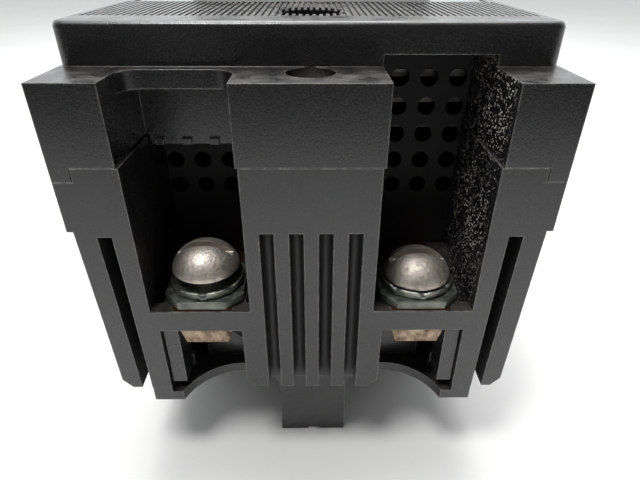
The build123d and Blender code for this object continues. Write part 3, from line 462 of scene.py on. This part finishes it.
# ------------------------------------------------------------ mesh building
def softened(node, edge, sharp=30.0):
    """Copy a CAD node, weld it, round its outer edges and stand in for the node."""
    work = bmesh.new()
    work.from_mesh(NODES[node].data)
    bmesh.ops.remove_doubles(work, verts=work.verts, dist=0.002 * MM)
    bmesh.ops.dissolve_limit(work, angle_limit=math.radians(0.6), verts=work.verts, edges=work.edges)
    bmesh.ops.recalc_face_normals(work, faces=work.faces)
    outer = [
        e for e in work.edges
        if e.is_manifold and e.is_convex and e.calc_face_angle(0) > math.radians(sharp)
    ]
    bmesh.ops.bevel(
        work, geom=outer, offset=edge, offset_type="OFFSET", affect="EDGES",
        segments=2, profile=0.5, clamp_overlap=True, material=-1,
    )
    return finish_mesh(work, node + "_finished", node)


def finish_mesh(work, name, node):
    """Turn a bmesh into a piece that rides with a CAD node and stands in for it."""
    mesh = bpy.data.meshes.new(name)
    work.to_mesh(mesh)
    work.free()
    piece = bpy.data.objects.new(name, mesh)
    bpy.context.scene.collection.objects.link(piece)
    mesh.shade_smooth()
    mesh.set_sharp_from_angle(angle=math.radians(50))
    flat = piece.modifiers.new("Flat faces", "WEIGHTED_NORMAL")
    flat.keep_sharp = True
    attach(piece, NODES[node]["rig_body"])
    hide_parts(node)
    return piece


# ------------------------------------------------------------ operators
class BREAKER_OT_stage(bpy.types.Operator):
    """Set up the floor, the soft light and the camera"""

    bl_idname = "breaker.stage"
    bl_label = "Stage"

    def execute(self, context):
        scene = context.scene
        stage = scene.breaker_stage
        lens = bpy.data.cameras.new("Camera")
        lens.sensor_width = 36
        lens.lens = stage.lens
        lens.clip_start = 0.005
        camera = bpy.data.objects.new("Camera", lens)
        scene.collection.objects.link(camera)
        turn = (
            Matrix.Rotation(-stage.yaw, 4, "Z")
            @ Matrix.Rotation(math.radians(90) - stage.pitch, 4, "X")
            @ Matrix.Rotation(stage.roll, 4, "Z")
        )
        camera.matrix_world = Matrix.Translation(stage.camera_place) @ turn
        scene.camera = camera

        work = bmesh.new()
        bmesh.ops.create_grid(work, x_segments=1, y_segments=1, size=3.0)
        bmesh.ops.translate(work, vec=(0, 0, CAD_BOX[0][2] - 0.05 * MM), verts=work.verts)
        mesh = bpy.data.meshes.new("Floor")
        work.to_mesh(mesh)
        work.free()
        floor = bpy.data.objects.new("Floor", mesh)
        scene.collection.objects.link(floor)
        # matt paper: almost white, with a faint cloud so it doesn't look like plain light
        paper, tree, shader, place = start_material("Paper, matt white", Roughness=0.9)
        cloud = patches(tree, place, 60 * MM, 0.3, 0.8)
        tone = add(
            tree, "Mix", {6: scene.breaker_colours.floor, 7: linear("#efeeec")}, {0: cloud},
            data_type="RGBA",
        )
        tree.links.new(tone.outputs[2], shader.inputs["Base Color"])
        mesh.materials.append(paper)

        # painted reflection: a dark card low in front, seen only in reflections, stands in for the
        # shaded room there and keeps the upright faces from mirroring the far floor
        work = bmesh.new()
        bmesh.ops.create_grid(work, x_segments=1, y_segments=1, size=1.0)
        half_card = stage.card_height / 2
        bmesh.ops.scale(work, vec=(10 * stage.card_height, half_card, 1), verts=work.verts)
        bmesh.ops.rotate(work, matrix=Matrix.Rotation(math.radians(90), 3, "X"), verts=work.verts)
        place = (0, -stage.card_distance, stage.card_gap + half_card)
        bmesh.ops.translate(work, vec=place, verts=work.verts)
        mesh = bpy.data.meshes.new("Dark card")
        work.to_mesh(mesh)
        work.free()
        card = bpy.data.objects.new("Dark card", mesh)
        scene.collection.objects.link(card)
        card.visible_camera = card.visible_diffuse = card.visible_shadow = False
        felt = start_material("Dark reflection card", Roughness=1.0, Specular_IOR_Level=0.0)[0]
        felt.node_tree.nodes["Principled BSDF"].inputs["Base Color"].default_value = linear("#141414")
        mesh.materials.append(felt)

        world = bpy.data.worlds.new("Soft room")
        world.use_nodes = True
        tree = world.node_tree
        sky = tree.nodes["Background"]
        sky.inputs["Color"].default_value = linear("#e9edee")
        way = add(tree, "SeparateXYZ", None, {0: add(tree, "TexCoord").outputs["Generated"]})
        fade = add(
            tree, "MapRange",
            {"From Min": -0.3, "From Max": 0.6, "To Min": stage.wall_front, "To Max": stage.wall_back},
            {"Value": way.outputs["Y"]},
        )
        tree.links.new(fade.outputs["Result"], sky.inputs["Strength"])
        scene.world = world
        lamp = bpy.data.lights.new("Overhead light", "AREA")
        lamp.shape = "DISK"
        lamp.size = stage.overhead_width
        lamp.energy = stage.overhead
        light = bpy.data.objects.new("Overhead light", lamp)
        scene.collection.objects.link(light)
        light.location = stage.overhead_place
        aim = Vector((0, 20 * MM, 0)) - light.location
        light.rotation_euler = aim.to_track_quat("-Z", "Y").to_euler()
        lamp = bpy.data.lights.new("Front light", "SPOT")
        lamp.energy = stage.front
        lamp.shadow_soft_size = stage.front_radius
        lamp.spot_size = stage.front_cone
        lamp.spot_blend = 1.0
        light = bpy.data.objects.new("Front light", lamp)
        scene.collection.objects.link(light)
        light.location = stage.front_place
        aim = Vector(stage.front_aim) - light.location
        light.rotation_euler = aim.to_track_quat("-Z", "Y").to_euler()
        scene.view_settings.view_transform = "Standard"
        scene.view_settings.look = "None"
        return {"FINISHED"}


class BREAKER_OT_mouldings(bpy.types.Operator):
    """Finish the base, the cover and the cross bar, which are moulded in phenolic"""

    bl_idname = "breaker.mouldings"
    bl_label = "Mouldings"

    def execute(self, context):
        sizes, colours = context.scene.breaker_sizes, context.scene.breaker_colours
        base = softened("base", sizes.moulding_edge)
        # compression moulded phenolic: a half-matt black skin, clouded where the powder flowed, with
        # heavier painted shade in its grooves and pockets
        wear_it(
            moulded_skin(
                "Phenolic base, compression moulded", colours.phenolic, colours.phenolic_cloud,
                sizes, colours, 1.7, 0.22, sizes.dust_amount * 0.5, 0.85, 0.35, 0.55, True,
            ),
            base.name,
        )
        # the same phenolic, handled more: browner grime and more rubbing along the top edges
        wear_it(
            moulded_skin(
                "Phenolic cover, compression moulded", colours.phenolic, colours.phenolic_cloud,
                sizes, colours, 1.7, 0.18, sizes.dust_amount * 0.45, 0.7, 0.25, 0.1, True,
                sizes.moulding_edge,
            ),
            "cover",
        )
        # inside the case the phenolic stays clean and even
        wear_it(
            moulded_skin(
                "Phenolic cross bar, compression moulded", colours.phenolic, colours.phenolic_cloud,
                sizes, colours, 1.6, 0.42, 0.05, 0.2, 0.1,
            ),
            "cross_bar",
        )
        return {"FINISHED"}


class BREAKER_OT_handle(bpy.types.Operator):
    """Finish the toggle handle and the steel yoke under it"""

    bl_idname = "breaker.handle"
    bl_label = "Handle"

    def execute(self, context):
        sizes, colours = context.scene.breaker_sizes, context.scene.breaker_colours
        handle = softened("handle", sizes.moulding_edge)
        # urea handle moulding: smoother than the case, polished by fingers
        wear_it(
            moulded_skin(
                "Urea handle, compression moulded", linear("#151516"), linear("#242427"),
                sizes, colours, 1.55, 0.26, 0.12, 0.6, 0.25,
            ),
            handle.name,
        )
        # blanked and zinc plated strip: bright, with straight rolling lines
        wear_it(
            worked_metal(
                "Steel yoke, blanked and zinc plated", colours.steel, colours.zinc_dull,
                sizes, colours, 0.36, 0.4, sizes.rolled_line, (1, 0.1, 1),
            ),
            "handle_yoke",
        )
        return {"FINISHED"}


class BREAKER_OT_terminals(bpy.types.Operator):
    """Finish the terminal screws, lock washers, clamp plates, nuts and straps"""

    bl_idname = "breaker.terminals"
    bl_label = "Terminals"

    def lock_washers(self, sizes):
        """Spin a dished washer under each screw head and bend its rim into tabs."""
        low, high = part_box("terminal_lock_washers")
        tall = high.z - low.z
        work = bmesh.new()
        for row in ("line", "load"):
            for side in ("left", "right"):
                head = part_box(f"terminal_screw_{row}_{side}")
                middle = (head[0] + head[1]) / 2
                seat = (head[1].x - head[0].x) / 2 + 0.06 * MM
                rim = seat + sizes.washer_rim
                outline = (
                    (0.55 * seat, 0.10), (0.55 * seat, 0.60), (seat, 0.60), (seat, 0.80),
                    (seat + 0.6 * sizes.washer_rim, 0.97), (rim, 0.90), (rim, 0.55),
                    (rim - 0.4 * sizes.washer_rim, 0.12),
                )
                ring = [
                    work.verts.new((middle.x + across, middle.y, low.z + up * tall))
                    for across, up in outline
                ]
                loop = [work.edges.new((a, b)) for a, b in zip(ring, ring[1:] + ring[:1])]
                bmesh.ops.spin(
                    work, geom=ring + loop, cent=(middle.x, middle.y, 0), axis=(0, 0, 1),
                    angle=2 * math.pi, steps=sizes.washer_steps, use_merge=True, use_duplicate=False,
                )
                for vert in work.verts:
                    away = Vector((vert.co.x - middle.x, vert.co.y - middle.y))
                    if away.length > rim + MM or vert.co.z < low.z + 0.5 * tall or away.length <= seat:
                        continue
                    turn = math.atan2(away.y, away.x) / (2 * math.pi) * sizes.washer_tabs
                    if turn % 1 < 0.22:
                        vert.co.z -= 0.42 * tall * (away.length - seat) / sizes.washer_rim
        bmesh.ops.recalc_face_normals(work, faces=work.faces)
        return finish_mesh(work, "terminal_lock_washers_finished", "terminal_lock_washers")

    def execute(self, context):
        sizes, colours = context.scene.breaker_sizes, context.scene.breaker_colours
        # nickel plated headed steel: warm grey domes with shallow dimples that break the light
        nickel = worked_metal(
            "Steel screw, headed and nickel plated", colours.nickel, colours.nickel_dull,
            sizes, colours, 0.50, 0.6, sizes.hammer_mark, depth=0.035,
        )
        for row in ("line", "load"):
            for side in ("left", "right"):
                screw = softened(f"terminal_screw_{row}_{side}", sizes.metal_edge)
                wear_it(nickel, screw.name)
        cover_screws = softened("cover_screws", sizes.metal_edge)
        wear_it(nickel, cover_screws.name)
        # zinc plated spring steel: greenish grey rims, darker in the dish
        zinc = worked_metal(
            "Steel washer, pressed and zinc plated", colours.zinc, colours.zinc_dull,
            sizes, colours, 0.40, 0.8, 0.5 * MM, depth=0.03,
        )
        washers = self.lock_washers(sizes)
        wear_it(zinc, washers.name)
        # zinc plated plate: duller than the washers, with clipped corners
        plate = worked_metal(
            "Steel clamp plate, blanked and zinc plated", colours.zinc_dull, colours.zinc,
            sizes, colours, 0.46, 0.7, sizes.rolled_line, (0.15, 1, 1), depth=0.02,
        )
        plates = softened("terminal_clamp_plates", sizes.metal_edge)
        wear_it(plate, plates.name)
        # sawn brass bar: pinkish tan with saw lines across the cut ends
        brass = worked_metal(
            "Brass nut, sawn from bar", colours.brass, colours.tarnish,
            sizes, colours, 0.42, 0.5, sizes.rolled_line, (1, 1, 0.2), depth=0.03,
        )
        nuts = softened("terminal_nuts", sizes.metal_edge)
        wear_it(brass, nuts.name)
        # sheared copper strip: brown tarnish over bright drawn lines
        copper = worked_metal(
            "Copper strap, sheared strip", linear("#7a5242"), colours.tarnish,
            sizes, colours, 0.42, 0.7, sizes.rolled_line, (1, 0.08, 1), depth=0.01,
        )
        wear_it(copper, "line_strap_left", "line_strap_right", "load_strap_left", "load_strap_right")
        return {"FINISHED"}


class BREAKER_OT_arc_chutes(bpy.types.Operator):
    """Finish the vent plates, the chute cheeks and the arc grid plates"""

    bl_idname = "breaker.arc_chutes"
    bl_label = "Arc chutes"

    def execute(self, context):
        sizes, colours = context.scene.breaker_sizes, context.scene.breaker_colours
        # punched vulcanised fibre: dull, nearly black, with paper fibres just showing
        vent = pressed_fibre(
            "Vulcanised fibre vent, punched", colours.fibre, linear("#22211d"), sizes, colours, 0.02,
        )
        wear_it(vent, "vent_plate_left", "vent_plate_right")
        # sheet fibre cheeks: grey-brown and clean except for soot in the corners
        cheek = pressed_fibre(
            "Vulcanised fibre cheek, sheared", linear("#5d4f41"), linear("#77695a"),
            sizes, colours, 0.05,
        )
        wear_it(cheek, "arc_chute_cheeks_left", "arc_chute_cheeks_right")
        # blanked steel plates: blue-brown heat colours over a grey plate
        grid = worked_metal(
            "Steel arc plate, blanked", linear("#8d8c86"), linear("#55504e"), sizes, colours,
            0.44, 0.4, sizes.rolled_line, (0.1, 1, 1),
        )
        wear_it(grid, "arc_grid_plates_left", "arc_grid_plates_right")
        return {"FINISHED"}


class BREAKER_OT_contacts(bpy.types.Operator):
    """Finish the contact arms, the silver tips and the flexible braids"""

    bl_idname = "breaker.contacts"
    bl_label = "Contacts"

    def execute(self, context):
        sizes, colours = context.scene.breaker_sizes, context.scene.breaker_colours
        # pressed copper bar: smoother than the straps, browned by heat
        arm = worked_metal(
            "Copper arm, pressed bar", colours.copper, colours.tarnish,
            sizes, colours, 0.34, 0.35, 0.6 * MM, depth=0.01,
        )
        wear_it(arm, "contact_arm_left", "contact_arm_right")
        # sintered silver: pale, with arc pits
        silver = worked_metal(
            "Silver contact, sintered", colours.silver, linear("#8b877f"),
            sizes, colours, 0.42, 0.5, 0.35 * MM, depth=0.05,
        )
        wear_it(silver, "fixed_contact_tips", "moving_contact_tips")
        # braided copper: crossing bundles of thin wire
        braid, tree, shader, place = start_material("Copper braid, woven wire", Metallic=1.0)
        wires = []
        for slant in (45, -45):
            turned = add(
                tree, "Mapping", {"Rotation": (0, 0, math.radians(slant))}, {"Vector": place},
            )
            wires.append(add(
                tree, "TexWave", {"Scale": 1 / (1.1 * MM), "Distortion": 0.6},
                {"Vector": turned.outputs[0]},
            ).outputs["Fac"])
        cloth = add(tree, "Math", None, {0: wires[0], 1: wires[1]}, operation="MAXIMUM").outputs[0]
        tone = add(
            tree, "Mix", {6: colours.tarnish, 7: colours.copper}, {0: cloth}, data_type="RGBA",
        )
        tree.links.new(tone.outputs[2], shader.inputs["Base Color"])
        matt = add(tree, "MapRange", {"To Min": 0.55, "To Max": 0.32}, {"Value": cloth})
        tree.links.new(matt.outputs["Result"], shader.inputs["Roughness"])
        bumps(tree, shader, cloth, 0.15 * MM)
        wear_it(braid, "flexible_braid_left", "flexible_braid_right")
        return {"FINISHED"}


class BREAKER_OT_mechanism(bpy.types.Operator):
    """Finish the frames, pins, links, cradle and springs"""

    bl_idname = "breaker.mechanism"
    bl_label = "Mechanism"

    def execute(self, context):
        sizes, colours = context.scene.breaker_sizes, context.scene.breaker_colours
        # blanked cold rolled plate: grey, with rolling lines and a little oil film
        plate = worked_metal(
            "Steel frame, blanked cold rolled", colours.steel, linear("#6c6d6e"),
            sizes, colours, 0.36, 0.35, sizes.rolled_line, (1, 0.08, 1),
        )
        wear_it(
            plate, "mechanism_frame_left", "mechanism_frame_right", "cradle", "upper_links",
            "lower_links",
        )
        # ground steel pins: bright, with fine rings round them
        pin = worked_metal(
            "Steel pin, centreless ground", linear("#c2c3c4"), linear("#8f9092"),
            sizes, colours, 0.22, 0.3, 0.15 * MM, (8, 1, 1),
        )
        wear_it(
            pin, "mechanism_frame_pins", "cradle_pin", "knee_pin", "cross_bar_link_pin",
            "upper_link_rivets",
        )
        # drawn spring wire: dark grey-brown from heat treatment and oil
        wire = worked_metal(
            "Spring steel, drawn wire", linear("#6d6862"), linear("#3f3b37"),
            sizes, colours, 0.30, 0.4, 0.2 * MM, (1, 1, 0.1),
        )
        wear_it(wire, "toggle_springs")
        return {"FINISHED"}


class BREAKER_OT_trip_unit(bpy.types.Operator):
    """Finish the bimetals, magnets, calibration screws, trip bar and trip button"""

    bl_idname = "breaker.trip_unit"
    bl_label = "Trip unit"

    def execute(self, context):
        sizes, colours = context.scene.breaker_sizes, context.scene.breaker_colours
        # rolled bimetal: satin, straw coloured where current warms it
        strip = worked_metal(
            "Bimetal, rolled strip", linear("#b0a996"), linear("#857453"),
            sizes, colours, 0.32, 0.3, sizes.rolled_line, (1, 1, 0.08),
        )
        wear_it(strip, "bimetal_left", "bimetal_right")
        # pressed soft iron: dark blued scale, worn grey on faces
        iron = worked_metal(
            "Soft iron, pressed and blued", linear("#4b4c50"), linear("#2c2d31"),
            sizes, colours, 0.45, 0.3, 0.6 * MM,
        )
        wear_it(
            iron, "magnet_yoke_left", "magnet_yoke_right", "armature_left", "armature_right",
        )
        # turned brass screws, sealed with a trace of lacquer
        turned = worked_metal(
            "Brass screw, turned", colours.brass, colours.tarnish, sizes, colours,
            0.30, 0.4, 0.3 * MM, (1, 6, 1),
        )
        wear_it(turned, "calibration_screws")
        # injection moulded nylon: waxy grey
        nylon = moulded_skin(
            "Nylon trip bar, injection moulded", linear("#3b3b3e"), linear("#4b4b4d"),
            sizes, colours, 1.53, 0.34, 0.05, 0.2, 0.1,
        )
        wear_it(nylon, "trip_bar")
        button = softened("trip_button", sizes.metal_edge)
        # red nylon: brighter where a screwdriver rubs it
        red = moulded_skin(
            "Red nylon button, injection moulded", colours.button, linear("#b5382c"),
            sizes, colours, 1.53, 0.30, 0.1, 0.4, 0.2,
        )
        wear_it(red, button.name)
        return {"FINISHED"}


class BREAKER_OT_label(bpy.types.Operator):
    """Finish the blank rating label with its printed frame lines"""

    bl_idname = "breaker.label"
    bl_label = "Label"

    def execute(self, context):
        sizes, colours = context.scene.breaker_sizes, context.scene.breaker_colours
        low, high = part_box("rating_plate")
        # printed polyester film: satin silver with a thin black frame and blank fields
        film, tree, shader, place = start_material("Polyester film, printed blank", IOR=1.65)
        centre = (low + high) / 2
        half = (high - low) / 2
        moved = add(tree, "VectorMath", {1: centre}, {0: place}, operation="SUBTRACT")
        at = add(tree, "SeparateXYZ", None, {0: moved.outputs[0]})
        lines = None
        edges = [("X", half.x - 1.2 * MM), ("Y", half.y - 1.2 * MM)]
        for axis, reach in edges:
            away = add(tree, "Math", None, {0: at.outputs[axis]}, operation="ABSOLUTE")
            line = add(
                tree, "Math", {1: reach, 2: 0.2 * MM}, {0: away.outputs[0]}, operation="COMPARE",
            ).outputs[0]
            lines = line if lines is None else add(
                tree, "Math", None, {0: lines, 1: line}, operation="MAXIMUM",
            ).outputs[0]
        scuff = patches(tree, place, 2 * MM, 0.5, 0.75, 0.4, (0.2, 1, 1), 8)
        tone = add(
            tree, "Mix", {6: colours.label, 7: linear("#1a1a1a")}, {0: lines}, data_type="RGBA",
        ).outputs[2]
        tone = add(tree, "Mix", {7: colours.dust}, {0: scuff, 6: tone}, data_type="RGBA").outputs[2]
        tree.links.new(tone, shader.inputs["Base Color"])
        matt = add(tree, "MapRange", {"To Min": 0.28, "To Max": 0.5}, {"Value": scuff})
        tree.links.new(matt.outputs["Result"], shader.inputs["Roughness"])
        bumps(tree, shader, scuff, 0.01 * MM)
        wear_it(film, "rating_plate")
        return {"FINISHED"}


class BREAKER_PT_panel(bpy.types.Panel):
    """Lists the breaker's pieces and the sizes and colours that they use"""

    bl_idname = "BREAKER_PT_panel"
    bl_label = "Moulded case breaker"
    bl_space_type = "VIEW_3D"
    bl_region_type = "UI"
    bl_category = "Breaker"

    def draw(self, context):
        layout = self.layout
        for operator in OPERATORS:
            layout.operator(operator.bl_idname)
        for name, _ in GROUPS:
            group = getattr(context.scene, name)
            box = layout.box()
            for value in group.__annotations__:
                box.prop(group, value)


OPERATORS = (
    BREAKER_OT_stage,
    BREAKER_OT_mouldings,
    BREAKER_OT_handle,
    BREAKER_OT_terminals,
    BREAKER_OT_arc_chutes,
    BREAKER_OT_contacts,
    BREAKER_OT_mechanism,
    BREAKER_OT_trip_unit,
    BREAKER_OT_label,
)
GROUPS = (
    ("breaker_sizes", BreakerSizes),
    ("breaker_colours", BreakerColours),
    ("breaker_stage", BreakerStage),
)


def register():
    """Register the settings, the operators and the panel."""
    for name, group in GROUPS:
        bpy.utils.register_class(group)
        setattr(bpy.types.Scene, name, PointerProperty(type=group))
    for made in OPERATORS + (BREAKER_PT_panel,):
        bpy.utils.register_class(made)


def unregister():
    """Take the settings, the operators and the panel away again."""
    for made in reversed(OPERATORS + (BREAKER_PT_panel,)):
        bpy.utils.unregister_class(made)
    for name, group in reversed(GROUPS):
        delattr(bpy.types.Scene, name)
        bpy.utils.unregister_class(group)


def main():
    """Make every piece in order."""
    register()
    for operator in OPERATORS:
        group, name = operator.bl_idname.split(".")
        getattr(getattr(bpy.ops, group), name)()


if __name__ == "__main__":
    main()
